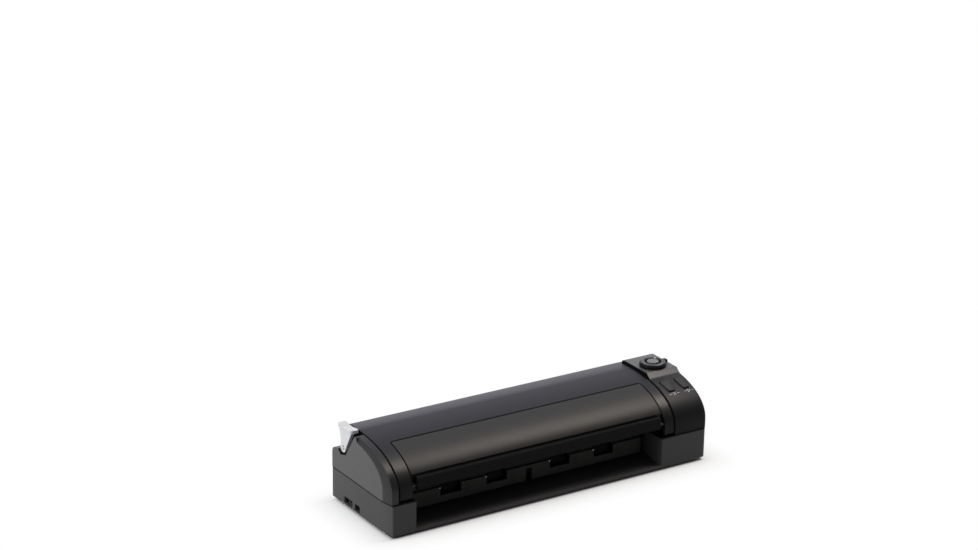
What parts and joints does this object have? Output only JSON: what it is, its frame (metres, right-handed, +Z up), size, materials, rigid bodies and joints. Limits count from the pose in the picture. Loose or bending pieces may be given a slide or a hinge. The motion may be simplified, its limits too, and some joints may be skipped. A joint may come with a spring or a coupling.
{
  "type": "sheet fed document scanner",
  "caption": "Slim portable sheet fed scanner: low housing with a wide feed slot, hinged crown cover with a front flap, end control head with dial and keys, and a release lever.",
  "frame": {"origin": "middle of the footprint, on the table under the feet", "axes": "+X along the length towards the control head, -Y towards the feed slot, +Z up"},
  "size_m": [0.288, 0.086, 0.0695],
  "materials": {
    "black": "satin",
    "board": "lacquered",
    "brass": "turned",
    "charcoal": "fine textured satin",
    "dark": "fine textured",
    "glass": "polished",
    "inner": "matte",
    "lamp": "clear moulded",
    "nylon": "moulded",
    "rubber": "matte",
    "silver": "silver painted",
    "steel": "ground"
  },
  "bodies": {
    "base": {"bottom_plate": "dark", "control_board": "board", "control_head": "charcoal", "cover_hinge_pin_left": "steel", "cover_hinge_pin_right": "steel", "dial_switch": "black", "foot_front_left": "rubber", "foot_front_right": "rubber", "foot_rear_left": "rubber", "foot_rear_right": "rubber", "front_bush_left": "nylon", "front_bush_right": "nylon", "left_end_cap": "charcoal", "lever_pin": "steel", "lever_spring": "steel", "lower_housing": "dark", "lower_paper_guide": "inner", "lower_sensor_bar": "black", "lower_sensor_glass": "glass", "main_board": "board", "motor_plate": "steel", "port_board": "board", "power_jack": "black", "rear_bush_left": "nylon", "rear_bush_right": "nylon", "status_lamp": "lamp", "stepper_motor": "steel", "usb_socket": "steel"},
    "cover": {"top_cover": "charcoal", "upper_paper_guide": "inner", "upper_sensor_bar": "black", "upper_sensor_glass": "glass", "flap_pin_left": "black", "flap_pin_right": "black"},
    "flap": {"front_flap": "charcoal", "flap_bar": "black"},
    "lever": {"release_lever": "silver"},
    "dial": {"selector_dial": "charcoal", "dial_cap": "charcoal"},
    "cancel": {"cancel_key": "charcoal"},
    "scan": {"scan_key": "charcoal"},
    "pinion": {"motor_pinion": "brass"},
    "idler": {"idler_gear": "nylon"},
    "front_drive": {"front_drive_shaft": "steel", "front_shaft_gear": "nylon", "front_drive_roller_1": "rubber", "front_drive_roller_2": "rubber", "front_drive_roller_3": "rubber", "front_drive_roller_4": "rubber"},
    "rear_drive": {"rear_drive_shaft": "steel", "rear_shaft_gear": "nylon", "rear_drive_roller": "rubber"},
    "front_pinch": {"front_pinch_axle": "steel", "front_pinch_roller_1": "rubber", "front_pinch_roller_2": "rubber", "front_pinch_roller_3": "rubber", "front_pinch_roller_4": "rubber"},
    "rear_pinch": {"rear_pinch_roller": "nylon"},
    "flag": {"paper_sensor_flag": "black"}
  },
  "joints": [
    {"name": "cover_hinge", "type": "hinge", "parent": "base", "child": "cover", "pos_m": [0, -0.0385, 0.0312], "axis": [1, 0, 0], "range_deg": [0, 60]},
    {"name": "flap_hinge", "type": "hinge", "parent": "cover", "child": "flap", "pos_m": [0, -0.0398, 0.0382], "axis": [1, 0, 0], "range_deg": [0, 110]},
    {"name": "lever_pull", "type": "hinge", "parent": "base", "child": "lever", "pos_m": [-0.1415, 0.028, 0.0474], "axis": [-1, 0, 0], "range_deg": [0, 38], "stiffness_Nm_per_rad": 0.03, "springref_deg": -11.46},
    {"name": "dial_turn", "type": "hinge", "parent": "base", "child": "dial", "pos_m": [0.1272, 0.0084, 0.0653], "axis": [0, 0, 1], "range_deg": [-120, 120]},
    {"name": "cancel_press", "type": "slide", "parent": "base", "child": "cancel", "axis": [0, 0.3291, -0.9443], "range_m": [0, 0.0007], "stiffness_N_per_m": 400},
    {"name": "scan_press", "type": "slide", "parent": "base", "child": "scan", "axis": [0, 0.3291, -0.9443], "range_m": [0, 0.0007], "stiffness_N_per_m": 400},
    {"name": "rear_drive_spin", "type": "hinge", "parent": "base", "child": "rear_drive", "pos_m": [0, 0.02459, 0.01803], "axis": [1, 0, 0], "continuous": true},
    {"name": "front_drive_spin", "type": "hinge", "parent": "base", "child": "front_drive", "pos_m": [0, -0.00879, 0.00807], "axis": [1, 0, 0], "continuous": true},
    {"name": "idler_spin", "type": "hinge", "parent": "base", "child": "idler", "pos_m": [0.1165, 0.00601, 0.01721], "axis": [1, 0, 0], "continuous": true},
    {"name": "pinion_spin", "type": "hinge", "parent": "base", "child": "pinion", "pos_m": [0.1165, 0.00601, 0.03401], "axis": [1, 0, 0], "continuous": true},
    {"name": "front_pinch_spin", "type": "hinge", "parent": "cover", "child": "front_pinch", "pos_m": [0, -0.01246, 0.01896], "axis": [1, 0, 0], "continuous": true},
    {"name": "rear_pinch_spin", "type": "hinge", "parent": "cover", "child": "rear_pinch", "pos_m": [0, 0.02134, 0.0277], "axis": [1, 0, 0], "continuous": true},
    {"name": "flag_swing", "type": "hinge", "parent": "cover", "child": "flag", "pos_m": [-0.0105, -0.0175, 0.0175], "axis": [1, 0, 0], "range_deg": [0, 35]}
  ],
  "couplings": [
    {"joint": "front_drive_spin", "follows": "rear_drive_spin", "ratio": 1.2857},
    {"joint": "idler_spin", "follows": "rear_drive_spin", "ratio": -0.40909},
    {"joint": "pinion_spin", "follows": "rear_drive_spin", "ratio": 1.5},
    {"joint": "front_pinch_spin", "follows": "rear_drive_spin", "ratio": -0.77143},
    {"joint": "rear_pinch_spin", "follows": "rear_drive_spin", "ratio": -1.2}
  ]
}
